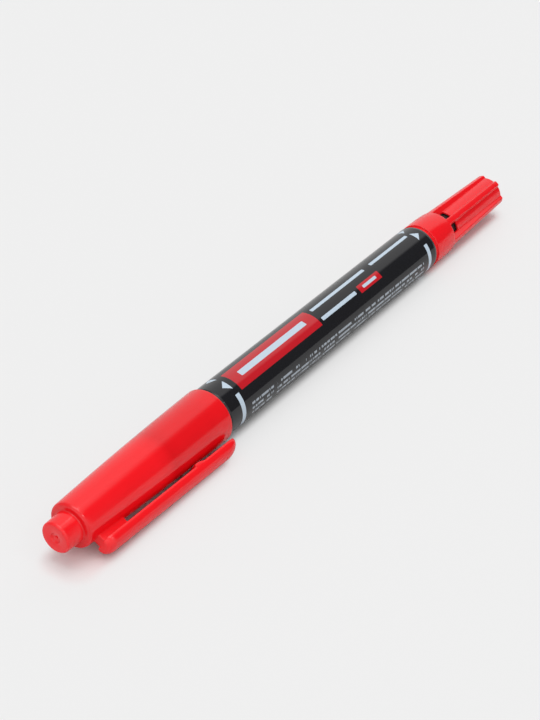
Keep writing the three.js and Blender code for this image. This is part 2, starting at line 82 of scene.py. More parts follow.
def arcPoints(x, r, radius, fromDegrees, toDegrees, steps=6):  # rounded corner of a profile
    out = []
    for i in range(steps + 1):
        a = math.radians(fromDegrees + (toDegrees - fromDegrees) * i / steps)
        out.append((x + radius * math.cos(a), r + radius * math.sin(a)))
    return out


def mix(a, b, t):
    return a + (b - a) * t


def bend(start, middle, end, steps):  # a corner as a curve
    shares = [k / steps for k in range(steps + 1)]
    return [start * (1 - t) ** 2 + middle * 2 * t * (1 - t) + end * t * t for t in shares]


def roundCorners(points, radius, steps=5):  # softens each corner of a closed profile that has room for it
    leastTurn = 0.3  # radians
    room = 0.45  # share of a side that one of its corners may take
    ring = [Vector(point) for point in points[:-1]]
    out = []
    for i, here in enumerate(ring):
        before = ring[i - 1] - here
        after = ring[(i + 1) % len(ring)] - here
        turn = math.pi - before.angle(after)
        if turn < leastTurn:
            out.append(tuple(here))
            continue
        reach = min(radius * math.tan(turn / 2), before.length * room, after.length * room)
        start = here + before.normalized() * reach
        end = here + after.normalized() * reach
        out += [tuple(point) for point in bend(start, here, end, steps)]
    return out + out[:1]


# Mesh makers

def addObject(name, data):
    obj = bpy.data.objects.new(name, data)
    bpy.context.scene.collection.objects.link(obj)
    return obj


def shadeMesh(mesh):
    mesh.shade_smooth()
    mesh.set_sharp_from_angle(angle=math.radians(sharpDegrees))


def finishMesh(name, bm):
    bmesh.ops.remove_doubles(bm, verts=bm.verts, dist=weldGap)
    bmesh.ops.recalc_face_normals(bm, faces=bm.faces)
    mesh = bpy.data.meshes.new(name)
    bm.to_mesh(mesh)
    bm.free()
    shadeMesh(mesh)
    return addObject(name, mesh)


def joinRows(bm, rows, closed=True):  # a band of faces between each row of points and the next
    count = len(rows[0])
    for a, b in zip(rows, rows[1:]):
        for k in range(count if closed else count - 1):
            n = (k + 1) % count
            bm.faces.new((a[k], a[n], b[n], b[k]))


def turnedPiece(name, profile, facets=192):  # profile of (x, r), axis to axis or closed
    bm = bmesh.new()
    rings = []
    for x, r in profile:
        if r < 1e-6:  # on the axis
            rings.append([bm.verts.new(penPoint(x, 0, 0))])
        else:
            rings.append([bm.verts.new(penPoint(x, r, 360 * k / facets)) for k in range(facets)])
    for a, b in zip(rings, rings[1:]):
        for k in range(facets):
            n = (k + 1) % facets
            corners = [a[k % len(a)], a[n % len(a)], b[n % len(b)], b[k % len(b)]]
            bm.faces.new(list(dict.fromkeys(corners)))
    return finishMesh(name, bm)


def loftedPiece(name, rings):  # closed rings of scene points, flat fan on each end
    bm = bmesh.new()
    made = [[bm.verts.new(p) for p in ring] for ring in rings]
    joinRows(bm, made)
    count = len(rings[0])
    for ring in (made[0], made[-1]):
        centre = bm.verts.new(sum((v.co for v in ring), Vector()) / count)
        for k in range(count):
            bm.faces.new((ring[k], ring[(k + 1) % count], centre))
    return finishMesh(name, bm)


def bakeModifiers(obj):  # replaces the live modifiers by their plain result
    bpy.context.view_layer.update()
    depsgraph = bpy.context.evaluated_depsgraph_get()
    mesh = bpy.data.meshes.new_from_object(obj.evaluated_get(depsgraph), depsgraph=depsgraph)
    obj.modifiers.clear()
    obj.data = mesh
    mesh.name = obj.name
    shadeMesh(mesh)
    return obj


def combine(obj, other, operation):
    cut = obj.modifiers.new(operation.lower(), "BOOLEAN")
    cut.operation = operation
    cut.solver = "EXACT"
    cut.object = other
    bakeModifiers(obj)
    bpy.data.objects.remove(other)
    return obj


# Shader helpers and the shared effects

def addNode(tree, kind, **values):
    node = tree.nodes.new(kind)
    for key, value in values.items():
        setattr(node, key, value)
    return node


def feed(tree, target, value):  # a link from a socket, or a plain value
    if hasattr(value, "is_output"):
        tree.links.new(value, target)
    else:
        target.default_value = value


def calc(tree, operation, *values, clamp=False):
    node = addNode(tree, "ShaderNodeMath", operation=operation, use_clamp=clamp)
    for i, value in enumerate(values):
        feed(tree, node.inputs[i], value)
    return node.outputs[0]


def apart(tree, a, b):
    return calc(tree, "ABSOLUTE", calc(tree, "SUBTRACT", a, b))


def lengthOf(tree, a, b):
    return calc(tree, "SQRT", calc(tree, "ADD", calc(tree, "MULTIPLY", a, a), calc(tree, "MULTIPLY", b, b)))


def softEdge(tree, room, width):  # mask that falls from 1 to 0 over this width, where the room is used up
    return calc(tree, "ADD", calc(tree, "DIVIDE", room, width), 0.5, clamp=True)


def mapRange(tree, value, fromMin, fromMax, toMin=0.0, toMax=1.0, curve="SMOOTHSTEP"):
    node = addNode(tree, "ShaderNodeMapRange", interpolation_type=curve)
    labels = ("Value", "From Min", "From Max", "To Min", "To Max")
    for label, given in zip(labels, (value, fromMin, fromMax, toMin, toMax)):
        feed(tree, node.inputs[label], given)
    return node.outputs[0]


def noiseOn(tree, place, scale, detail):
    node = addNode(tree, "ShaderNodeTexNoise")
    for label, given in (("Vector", place), ("Scale", scale), ("Detail", detail)):
        feed(tree, node.inputs[label], given)
    return node.outputs[0]


def mixColour(tree, amount, a, b):
    node = addNode(tree, "ShaderNodeMix", data_type="RGBA")
    feed(tree, node.inputs[0], amount)
    feed(tree, node.inputs[6], a)
    feed(tree, node.inputs[7], b)
    return node.outputs[2]


def blendShaders(tree, share, first, second, output):
    blend = addNode(tree, "ShaderNodeMixShader")
    for socket, source in zip(blend.inputs, (share, first.outputs[0], second.outputs[0])):
        tree.links.new(source, socket)
    tree.links.new(blend.outputs[0], tree.nodes[output].inputs["Surface"])


def addBump(tree, shader, height, depth):
    bump = addNode(tree, "ShaderNodeBump")
    bump.inputs["Strength"].default_value = 1
    bump.inputs["Distance"].default_value = depth * mm
    tree.links.new(height, bump.inputs["Height"])
    tree.links.new(bump.outputs[0], shader.inputs["Normal"])


def newGroup(name, inputs, outputs):
    tree = bpy.data.node_groups.new(name, "ShaderNodeTree")
    for label, kind, value in inputs:
        socket = tree.interface.new_socket(label, in_out="INPUT", socket_type="NodeSocket" + kind)
        if value is not None:
            socket.default_value = value
    for label, kind in outputs:
        tree.interface.new_socket(label, in_out="OUTPUT", socket_type="NodeSocket" + kind)
    return tree, tree.nodes.new("NodeGroupInput").outputs, tree.nodes.new("NodeGroupOutput").inputs


def useGroup(tree, group, **values):
    node = addNode(tree, "ShaderNodeGroup", node_tree=group)
    for key, value in values.items():
        feed(tree, node.inputs[key.replace("_", " ")], value)
    return node.outputs


def buildPenPolar():  # where a point lies along the pen and round it
    tree, given, out = newGroup(
        "penPolar",
        [("Vector", "Vector", None), ("Start", "Float", 0.0), ("Axis Y", "Float", 0.0),
         ("Axis Z", "Float", 0.0)],
        [("Along", "Float"), ("Angle", "Float")],
    )
    parts = addNode(tree, "ShaderNodeSeparateXYZ")
    tree.links.new(given["Vector"], parts.inputs[0])
    along = calc(tree, "MULTIPLY", calc(tree, "SUBTRACT", parts.outputs[0], given["Start"]), 1 / mm)
    across = calc(tree, "SUBTRACT", parts.outputs[1], given["Axis Y"])
    height = calc(tree, "SUBTRACT", parts.outputs[2], given["Axis Z"])
    angle = calc(tree, "DEGREES", calc(tree, "ARCTAN2", height, across))
    tree.links.new(along, out["Along"])
    tree.links.new(calc(tree, "WRAP", angle, 360.0, 0.0), out["Angle"])
    return tree


def buildMouldedSkin():  # faint orange peel and uneven gloss of moulded plastic
    tree, given, out = newGroup(
        "mouldedSkin",
        [("Vector", "Vector", None), ("Peel Scale", "Float", 900.0), ("Blotch Scale", "Float", 160.0),
         ("Gloss", "Float", 0.2), ("Gloss Swing", "Float", 0.05)],
        [("Roughness", "Float"), ("Height", "Float")],
    )
    blotch = noiseOn(tree, given["Vector"], given["Blotch Scale"], detail=4)
    swing = calc(tree, "MULTIPLY", calc(tree, "SUBTRACT", blotch, 0.5), given["Gloss Swing"])
    tree.links.new(calc(tree, "ADD", given["Gloss"], swing), out["Roughness"])
    tree.links.new(noiseOn(tree, given["Vector"], given["Peel Scale"], detail=3), out["Height"])
    return tree


def buildPrintBar():  # mask of one printed bar with rounded ends
    tree, given, out = newGroup(
        "printBar",
        [("Along", "Float", 0.0), ("Around", "Float", 0.0), ("Along Middle", "Float", 0.0),
         ("Around Middle", "Float", 0.0), ("Half Length", "Float", 1.0), ("Half Height", "Float", 1.0),
         ("Corner", "Float", 0.1), ("Edge", "Float", 0.04)],
        [("Mask", "Float")],
    )

    def overhang(place, middle, half):
        straight = calc(tree, "SUBTRACT", given[half], given["Corner"])
        return calc(tree, "SUBTRACT", apart(tree, given[place], given[middle]), straight)

    long = overhang("Along", "Along Middle", "Half Length")
    high = overhang("Around", "Around Middle", "Half Height")
    outside = lengthOf(tree, calc(tree, "MAXIMUM", long, 0.0), calc(tree, "MAXIMUM", high, 0.0))
    inside = calc(tree, "MINIMUM", calc(tree, "MAXIMUM", long, high), 0.0)
    room = calc(tree, "SUBTRACT", given["Corner"], calc(tree, "ADD", outside, inside))
    tree.links.new(softEdge(tree, room, given["Edge"]), out["Mask"])
    return tree


def buildPrintArrow():  # triangle: flat side at Base, point towards Tip
    tree, given, out = newGroup(
        "printArrow",
        [("Along", "Float", 0.0), ("Around", "Float", 0.0), ("Base", "Float", 0.0), ("Tip", "Float", 1.0),
         ("Around Middle", "Float", 0.0), ("Half Width", "Float", 1.0), ("Edge", "Float", 0.06),
         ("Base Edge", "Float", 0.05)],
        [("Mask", "Float")],
    )
    share = calc(tree, "DIVIDE", calc(tree, "SUBTRACT", given["Along"], given["Tip"]),
                 calc(tree, "SUBTRACT", given["Base"], given["Tip"]))
    side = apart(tree, given["Around"], given["Around Middle"])
    room = calc(tree, "SUBTRACT", calc(tree, "MULTIPLY", share, given["Half Width"]), side)
    front = softEdge(tree, calc(tree, "SUBTRACT", 1.0, share), given["Base Edge"])
    tree.links.new(calc(tree, "MULTIPLY", softEdge(tree, room, given["Edge"]), front), out["Mask"])
    return tree


def buildFinePrint():  # one row of marks too small to read, in groups
    tree, given, out = newGroup(
        "finePrint",
        [("Along", "Float", 0.0), ("Around", "Float", 0.0), ("Row", "Float", 0.0),
         ("Half Height", "Float", 0.2), ("Mark Length", "Float", 0.3), ("Mark Gaps", "Float", 0.28),
         ("Marks In Group", "Float", 4.3), ("Group Gaps", "Float", 0.07), ("Seed", "Float", 0.0),
         ("Edge", "Float", 0.08)],
        [("Mask", "Float")],
    )

    def pick(length, gaps):  # bare where a cell's random value is under the share of gaps
        cell = calc(tree, "FLOOR", calc(tree, "DIVIDE", given["Along"], length))
        noise = addNode(tree, "ShaderNodeTexWhiteNoise", noise_dimensions="2D")
        pair = addNode(tree, "ShaderNodeCombineXYZ")
        tree.links.new(cell, pair.inputs[0])
        tree.links.new(given["Seed"], pair.inputs[1])
        tree.links.new(pair.outputs[0], noise.inputs["Vector"])
        return calc(tree, "GREATER_THAN", noise.outputs["Value"], gaps)

    marks = pick(given["Mark Length"], given["Mark Gaps"])
    groupLength = calc(tree, "MULTIPLY", given["Mark Length"], given["Marks In Group"])
    groups = pick(groupLength, given["Group Gaps"])
    room = calc(tree, "SUBTRACT", given["Half Height"], apart(tree, given["Around"], given["Row"]))
    line = softEdge(tree, room, given["Edge"])
    tree.links.new(calc(tree, "MULTIPLY", calc(tree, "MULTIPLY", marks, groups), line), out["Mask"])
    return tree


penPolar = buildPenPolar()
mouldedSkin = buildMouldedSkin()
printBar = buildPrintBar()
printArrow = buildPrintArrow()
finePrint = buildFinePrint()
print("shared shader groups built")


# Finishes

def newFinish(name, settings):
    material = bpy.data.materials.new(name)
    material.use_nodes = True
    tree = material.node_tree
    shader = tree.nodes["Principled BSDF"]
    for key, value in settings.items():
        shader.inputs[key].default_value = value
    place = addNode(tree, "ShaderNodeTexCoord").outputs["Object"]
    return material, tree, shader, place


def skinOn(tree, shader, place, look):
    skin = useGroup(tree, mouldedSkin, Vector=place, Peel_Scale=look["peelScale"], Gloss=look["gloss"],
                    Gloss_Swing=look["swing"])
    tree.links.new(skin["Roughness"], shader.inputs["Roughness"])
    addBump(tree, shader, skin["Height"], look["depth"])


def placeOnPen(tree, place):  # Along in mm, Angle in degrees
    return useGroup(tree, penPolar, Vector=place, Start=penStart, Axis_Y=axisY, Axis_Z=axisZ)


def makeRamp(tree, value, stops):  # grey level by (position, level)
    ramp = addNode(tree, "ShaderNodeValToRGB")
    tree.links.new(value, ramp.inputs[0])
    marks = ramp.color_ramp.elements
    while len(marks) < len(stops):
        marks.new(0.5)
    for mark, (position, level) in zip(marks, stops):
        mark.position = position
        mark.color = (level, level, level, 1)
    return ramp.outputs[0]


def plasticFinish(name, look, wall=False):
    material, tree, shader, place = newFinish(name, plastic["shader"])
    cloud = noiseOn(tree, place, plastic["cloudScale"], plastic["cloudDetail"])
    colour = mixColour(tree, cloud, look["colour"], look["thin"])
    # painted shade: where asked, the wall colour is laid over the plastic's own along the pen, by the ramp's
    # shares
    if wall:
        along = placeOnPen(tree, place)["Along"]
        share = makeRamp(tree, calc(tree, "DIVIDE", along, look["wallLength"]), look["paintedShadeShare"])
        colour = mixColour(tree, share, colour, look["wall"])
    tree.links.new(colour, shader.inputs["Base Color"])
    skinOn(tree, shader, place, look)
    return material


# all moulded pieces: a slight swirl of the pigment from each look's colour to its thin one; depth in mm
plastic = {"cloudScale": 60, "cloudDetail": 2, "shader": {"IOR": 1.5}}
redSkin = {"peelScale": 700, "gloss": 0.16, "swing": 0.05, "depth": 0.0012}
redLook = {
    **redSkin, "colour": (0.85, 0.006, 0.011, 1), "thin": (0.88, 0.008, 0.014, 1),
    # painted shade: the shell is painted darker round its end, and where the black nose stands behind it
    # and keeps light from coming through the wall: (share of wallLength from the stub's face, share of the
    # wall colour)
    "wall": (0.68, 0.003, 0.007, 1), "wallLength": 41,
    "paintedShadeShare": ((0.08, 0), (0.086, 0.6), (0.093, 0.6), (0.105, 0), (0.52, 0), (0.57, 0.3), (0.61, 0.85),
                  (0.68, 0.65), (0.87, 0.65), (0.92, 0.5)),
}
fineRedLook = {**redSkin, "colour": (0.81, 0.005, 0.010, 1), "thin": (0.84, 0.007, 0.013, 1)}
blackLook = {
    "colour": (0.012, 0.012, 0.013, 1), "thin": (0.018, 0.018, 0.019, 1),
    "peelScale": 900, "gloss": 0.25, "swing": 0.06, "depth": 0.0015,
}
naturalLook = {
    "colour": (0.74, 0.75, 0.74, 1), "thin": (0.80, 0.80, 0.79, 1),
    "peelScale": 900, "gloss": 0.35, "swing": 0.06, "depth": 0.0015,
}
redPlastic = plasticFinish("redPlastic", redLook)
# the broad cap's shell carries painted shade along its length
redShellPlasticPaintedShade = plasticFinish("redShellPlasticPaintedShade", redLook, wall=True)
fineRedPlastic = plasticFinish("fineRedPlastic", fineRedLook)
blackPlastic = plasticFinish("blackPlastic", blackLook)
naturalPlastic = plasticFinish("naturalPlastic", naturalLook)


fibreLook = {
    "dark": (0.16, 0.004, 0.008, 1), "light": (0.42, 0.012, 0.02, 1),
    "shader": {"Roughness": 0.85, "IOR": 1.4},
    "strandScale": 5200, "strandDetail": 2, "alongScale": 0.06, "depth": 0.02,
}


def fibreFinish(name, look):  # bundled felt fibres that run along the pen
    material, tree, shader, place = newFinish(name, look["shader"])
    mapping = addNode(tree, "ShaderNodeMapping")
    mapping.inputs["Scale"].default_value = (look["alongScale"], 1, 1)
    tree.links.new(place, mapping.inputs["Vector"])
    strands = noiseOn(tree, mapping.outputs[0], look["strandScale"], look["strandDetail"])
    tree.links.new(mixColour(tree, strands, look["dark"], look["light"]), shader.inputs["Base Color"])
    addBump(tree, shader, strands, look["depth"])
    return material


inkedFibre = fibreFinish("inkedFibre", fibreLook)


labelPrint = {
    "film": (0.0095, 0.0095, 0.0115, 1), "panel": (0.50, 0.010, 0.018, 1), "white": (0.50, 0.60, 0.70, 1),
    "grey": (0.34, 0.38, 0.43, 1), "shader": {"IOR": 1.5},
    "peelScale": 500, "gloss": 0.07, "swing": 0.02, "depth": 0.0005, "radius": 4.84,
    # start, end, low angle, high angle; the panels and the area of the rows have their corner radius too
    "panels": ((45.94, 71.4, 73.0, 131.5, 0.06), (84.95, 92.25, 111.0, 131.5, 0.12)),
    "bars": ((48.4, 68.6, 93.5, 108.5), (72.5, 90.6, 83.0, 92.0), (92.9, 106.6, 83.0, 92.0),
             (72.3, 83.8, 116.5, 125.5), (86.3, 90.9, 117.5, 124.8)), "barCorner": 0.18,
    "arrows": ((44.6, 43.1), (107.65, 109.2)),  # base, tip
    "arrowAngles": (60.5, 103.0), "arrowHalf": 14.8, "arrowsFrom": 30,
    "arcs": ((44.45, 131.5, 213.0), (108.05, 134.5, 206.0)),  # middle, low angle, high angle
    "arcHalf": 0.52, "arcCorner": 0.06, "arcsFrom": 80,
    "rows": (171.0, 183.0, 195.5), "rowHalf": 0.23, "markLength": 0.27, "seedStep": 7.0,
    "rowArea": (46.9, 105.8, 150, 215, 0.1),
}


def labelFinish(look):
    material, tree, shader, place = newFinish("printedFilm", look["shader"])
    perDegree = math.radians(1) * look["radius"]
    polar = placeOnPen(tree, place)
    along = polar["Along"]
    around = calc(tree, "MULTIPLY", polar["Angle"], perDegree)

    def twiceRound(fromDegrees):  # wrapped to half a turn, so what reads it comes twice round the barrel
        return calc(tree, "WRAP", around, (fromDegrees + 180) * perDegree, fromDegrees * perDegree)

    def bar(start, end, low, high, corner, height=around):
        return useGroup(
            tree, printBar, Along=along, Around=height, Along_Middle=(start + end) / 2,
            Around_Middle=(low + high) / 2 * perDegree, Half_Length=(end - start) / 2,
            Half_Height=(high - low) / 2 * perDegree, Corner=corner,
        )["Mask"]

    def anyOf(masks):
        total = masks[0]
        for mask in masks[1:]:
            total = calc(tree, "MAXIMUM", total, mask)
        return total

    panels = anyOf([bar(*values) for values in look["panels"]])
    marks = [bar(*values, look["barCorner"]) for values in look["bars"]]
    arrowAround = twiceRound(look["arrowsFrom"])
    for base, tip in look["arrows"]:
        for middle in look["arrowAngles"]:
            marks.append(useGroup(
                tree, printArrow, Along=along, Around=arrowAround, Base=base, Tip=tip,
                Around_Middle=middle * perDegree, Half_Width=look["arrowHalf"] * perDegree,
            )["Mask"])
    arcAround = twiceRound(look["arcsFrom"])
    for middle, low, high in look["arcs"]:
        start, end = middle - look["arcHalf"], middle + look["arcHalf"]
        marks.append(bar(start, end, low, high, look["arcCorner"], arcAround))
    rows = anyOf([
        useGroup(tree, finePrint, Along=along, Around=around, Row=angle * perDegree,
                 Half_Height=look["rowHalf"], Mark_Length=look["markLength"],
                 Seed=seed * look["seedStep"])["Mask"]
        for seed, angle in enumerate(look["rows"])
    ])
    rows = calc(tree, "MULTIPLY", rows, bar(*look["rowArea"]))
    colour = mixColour(tree, panels, look["film"], look["panel"])
    colour = mixColour(tree, rows, colour, look["grey"])
    colour = mixColour(tree, anyOf(marks), colour, look["white"])
    tree.links.new(colour, shader.inputs["Base Color"])
    skinOn(tree, shader, place, look)
    return material


printedFilm = labelFinish(labelPrint)
print("finishes built")


def dress(obj, material, body, slot, *nodes):  # finish, body and the nodes that a piece stands for
    obj.data.materials.clear()
    obj.data.materials.append(material)
    if body:  # the clip has none: it bends between two bodies
        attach(obj, body)
    if nodes:
        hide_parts(*nodes)


# Broad cap: shell with its stub, gate dimple and bore

capShell = {
    "stubRadius": 2.85, "stubBase": 2.95, "stubLength": 3.6, "stubEdge": 0.42, "stubFillet": 0.22,
    "dimple": 0.95, "dimpleDepth": 0.35, "dimpleEdge": 0.04, "nub": 0.28, "nubHeight": 0.17,
    "nubCurve": ((1, 0), (1, 0.55), (0.7, 0.9), (0, 1)),  # shares of its height and of its radius
    "dimpleCurve": ((1, 0.42), (0.82, 0.2), (0.35, 0.06)),  # share of its depth, distance from its edge
    "endRadius": 4.2, "mouth": 40.33, "mouthRadius": 5.288, "belly": 0.18, "rim": 0.55, "lip": 0.22,
    "bore": 4.34, "boreEdge": 0.2, "grip": 10.0, "wall": 0.75, "wallSteps": 40,
    "floor": 5.6, "floorRadius": 3.57, "stemBore": 1.75, "stemEnd": 1.2,
}


def capRadius(x):
    c = capShell
    t = (x - c["stubLength"]) / (c["mouth"] - c["stubLength"])
    return mix(c["endRadius"], c["mouthRadius"], t) + 4 * c["belly"] * t * (1 - t)


def makeCapShell():
    c = capShell
    rimX = c["stubLength"] + c["rim"]
    lipX = c["mouth"] - c["lip"]
    profile = [(c["dimpleDepth"] - c["nubHeight"] * high, c["nub"] * wide) for high, wide in c["nubCurve"]]
    profile += [(c["dimpleDepth"] * deep, c["dimple"] - inward) for deep, inward in c["dimpleCurve"]]
    profile += [(c["dimpleEdge"], c["dimple"]), (0, c["dimple"] + 2 * c["dimpleEdge"])]
    profile += arcPoints(c["stubEdge"], c["stubRadius"] - c["stubEdge"], c["stubEdge"], 180, 90, 10)
    filletR = c["stubBase"] + c["stubFillet"]
    profile += arcPoints(c["stubLength"] - c["stubFillet"], filletR, c["stubFillet"], 270, 360, 6)
    profile += arcPoints(rimX, capRadius(rimX) - c["rim"], c["rim"], 180, 95, 12)
    for i in range(1, c["wallSteps"] + 1):
        x = mix(rimX, lipX, i / c["wallSteps"])
        profile.append((x, capRadius(x)))
    profile += arcPoints(lipX, capRadius(lipX) - c["lip"], c["lip"], 88, 0, 6)
    profile += arcPoints(c["mouth"] - c["boreEdge"], c["bore"] + c["boreEdge"], c["boreEdge"], 0, -90, 4)
    gripEnd = c["mouth"] - c["grip"]
    for x in (gripEnd, mix(gripEnd, c["floor"], 0.5)):
        profile.append((x, min(capRadius(x) - c["wall"], c["bore"])))
    profile += [(c["floor"], c["floorRadius"]), (c["floor"], c["stemBore"]), (c["stemEnd"], c["stemBore"]),
                (c["stemEnd"], 0)]
    return turnedPiece("broadCapShell", profile, 256)


broadCapShell = makeCapShell()
dress(broadCapShell, redShellPlasticPaintedShade, "large_cap", "red_plastic", "large_cap")
print("broad cap shell made")


# Clip: D-shaped bar with a tail, a bridge block and a grip ridge

clipBar = {
    "angle": 209.0, "width": 4.5, "thickness": 2.12, "flank": 0.5, "edge": 0.16, "crownSteps": 32,
    "rootReach": 5.4987, "rootAt": 5.65, "tipReach": 6.0575,
    "tail": 5.25, "tailLength": 1.6, "tailBlunt": 0.3, "tailDepth": 0.5, "tailSteps": 14,
    "tip": 39.33, "noseLength": 2.8, "noseBlunt": 0.931, "nosePower": 3.5, "noseDepth": 0.35, "noseSteps": 16,
    "firstStep": 0.5, "step": 0.55, "leastStep": 0.2,
    "bridgeStart": 5.65, "bridgeEnd": 11.5, "bridgeWidth": 2.2, "bridgeCorner": 0.12, "cornerSteps": 6,
    "bridgeFoot": ((-0.3, 0.2), (0, 0.2), (0.03, 0.11), (0.1, 0.03), (0.2, 0)),  # height on the cap, flare
    "bridgeSink": 0.4,
    "ridgeAt": 28.53,
    "ridge": ((0, 0), (0.06, 0), (0.12, 0.4), (0.25, 0.4), (1.2175, 0.4), (2.4, 0)),  # from ridgeAt, height
    "hinge": 11.9, "bendFrom": 11.7, "bendTo": 17.0,
}


def clipReach(x):  # axis to the flat inner face
    c = clipBar
    return mix(c["rootReach"], c["tipReach"], (x - c["rootAt"]) / (c["tip"] - c["rootAt"]))


def clipPoint(x, across, out):
    c = clipBar
    a = math.radians(c["angle"])
    outward = Vector((0, math.cos(a), math.sin(a)))
    sideways = Vector((0, -math.sin(a), math.cos(a)))
    return Vector((penStart + x * mm, axisY, axisZ)) + (outward * out + sideways * across) * mm


def clipRing(x, width=1.0, depth=1.0, ridge=0.0):
    c = clipBar
    half = c["width"] / 2 * width
    flank = c["flank"] * depth
    crown = (c["thickness"] - c["flank"]) * depth
    reach = clipReach(x)
    edge = min(c["edge"], half * 0.3, flank * 0.5)
    # inner face to flank, as (distance in from the side, height on the face)
    corner = ((edge, -ridge), (edge * 0.3, edge * 0.3 - ridge), (0, edge - ridge * 0.5))
    ring = [clipPoint(x, half - inward, reach + up) for inward, up in corner]
    for i in range(c["crownSteps"] + 1):
        a = math.pi * i / c["crownSteps"]
        ring.append(clipPoint(x, half * math.cos(a), reach + flank + crown * math.sin(a)))
    ring += [clipPoint(x, inward - half, reach + up) for inward, up in reversed(corner)]
    return ring


def plainRings(x, end):  # the even bar, up to where its next form starts
    c = clipBar
    rings = []
    while x < end - c["leastStep"]:
        rings.append(clipRing(x))
        x += c["step"]
    return rings


def makeClip():
    c = clipBar
    rings = []
    for i in range(c["tailSteps"] + 1):  # bullet tail
        t = i / c["tailSteps"]
        ahead = c["tailLength"] * (1 - math.cos(t * math.pi / 2))
        width = math.sin(mix(c["tailBlunt"], 1, t) * math.pi / 2)
        rings.append(clipRing(c["tail"] + ahead, width, mix(c["tailDepth"], 1, math.sin(t * math.pi / 2))))
    rings += plainRings(c["tail"] + c["tailLength"] + c["firstStep"], c["ridgeAt"])
    rings += [clipRing(c["ridgeAt"] + past, ridge=height) for past, height in c["ridge"]]
    noseStart = c["tip"] - c["noseLength"]
    rings += plainRings(c["ridgeAt"] + c["ridge"][-1][0] + c["firstStep"], noseStart)
    for i in range(c["noseSteps"] + 1):  # blunt bullet nose: full in width, while its crown runs down early
        t = math.sin(i / c["noseSteps"] * math.pi / 2)
        width = (1 - (c["noseBlunt"] * t) ** c["nosePower"]) ** (1 / c["nosePower"])
        depth = mix(c["noseDepth"], 1, math.sqrt(1 - t * t))
        rings.append(clipRing(noseStart + c["noseLength"] * t, width, depth))
    return loftedPiece("clipBar", rings)


def makeBridge():  # narrower than the bar; its foot follows the cap with a small fillet
    c = clipBar
    middle = (c["bridgeStart"] + c["bridgeEnd"]) / 2
    halfLong = (c["bridgeEnd"] - c["bridgeStart"]) / 2 - c["bridgeCorner"]
    halfWide = c["bridgeWidth"] / 2 - c["bridgeCorner"]
    rings = []
    for above, flare in (*c["bridgeFoot"], (None, 0)):  # the last ring is sunk in the bar
        ring = []
        reach = c["bridgeCorner"] + flare
        for cornerX, cornerY, start in ((1, 1, 0), (-1, 1, 90), (-1, -1, 180), (1, -1, 270)):
            for k in range(c["cornerSteps"] + 1):
                a = math.radians(start + 90 / c["cornerSteps"] * k)
                x = middle + cornerX * halfLong + reach * math.cos(a)
                across = cornerY * halfWide + reach * math.sin(a)
                if above is None:
                    out = clipReach(x) + c["bridgeSink"]
                else:
                    out = math.sqrt(capRadius(x) ** 2 - across ** 2) + above
                ring.append(clipPoint(x, across, out))
        rings.append(ring)
    return loftedPiece("clipBridge", rings)


pocketClip = combine(makeClip(), makeBridge(), "UNION")
pocketClip.name = "pocketClip"
dress(pocketClip, redPlastic, None, "red_plastic", "clip_arm")
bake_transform(pocketClip)
print("clip made")


# Ribbed cap: one sector of the outside, repeated round the pen by Geometry Nodes

ribbedCap = {
    "mouth": 110.95, "radius": 4.78, "recess": 4.45, "recessEnd": 111.7, "recessEdge": 0.05, "lip": 0.14,
    "domeFrom": 115.3, "domeGap": 0.06, "shoulder": 118.4, "shoulderRadius": 4.63, "end": 140.25,
    "endRadius": 3.94, "endRound": 0.42, "fluteRound": 0.5, "flute": 3.4, "ramp": 0.14,
    # distance past the shoulder, share of the flute's depth
    "fluteStart": ((0, 0.02), (0.04, 0.07), (0.07, 0.3), (0.1, 0.82), (0.12, 0.97)),
    "count": 6, "facing": 7.0, "crestDegrees": 7.5, "footDegrees": 13.0, "footSpread": 2.0,
    # shares of the crest and of the flank where their corners' curves begin and end
    "crestFlat": 0.76, "flankFrom": 0.14, "flankTo": 0.88,
    "flare": 1.15, "flareLength": 2.5,
    "windowEnd": 121.7, "windowTop": 3.65, "windowInner": 2.6, "windowGap": 0.1,
    "bore": 4.22, "boreEnd": 117.95, "bodyBore": 3.1, "bodyEnd": 121.95, "sealStart": 123.15,
    "sealBore": 2.5, "neckEnd": 127.4, "innerEnd": 137.85, "innerEndRadius": 1.95,
}


def ribWiden(x):  # the ribs flare into the shoulder
    c = ribbedCap
    return mix(c["flare"], 1, min(1, max(0, (x - c["shoulder"]) / c["flareLength"])))


def crestRadius(x):
    c = ribbedCap
    return mix(c["shoulderRadius"], c["endRadius"], (x - c["shoulder"]) / (c["end"] - c["shoulder"]))


def ribHalfSection(crest, floor, widen):  # (angle, radius) from the middle of a rib to the middle of a flute
    c = ribbedCap
    half = 180 / c["count"]
    crestAt, footAt = c["crestDegrees"] * widen, c["footDegrees"] * widen
    crestBend, floorBend = crestAt * c["crestFlat"], footAt + c["footSpread"]

    def flat(degrees, r):
        a = math.radians(degrees)
        return Vector((r * math.sin(a), r * math.cos(a)))

    crestCorner, footCorner = flat(crestAt, crest), flat(footAt, floor)

    def flank(share):
        return crestCorner.lerp(footCorner, share)

    points = [flat(crestBend * i / 5, crest) for i in range(5)]
    points += bend(flat(crestBend, crest), crestCorner, flank(c["flankFrom"]), 4)
    points.append(flank(0.5))
    points += bend(flank(c["flankTo"]), footCorner, flat(floorBend, floor), 4)
    points += [flat(mix(floorBend, half, i / 5), floor) for i in range(1, 6)]
    return [(math.degrees(math.atan2(p.x, p.y)), p.length) for p in points]


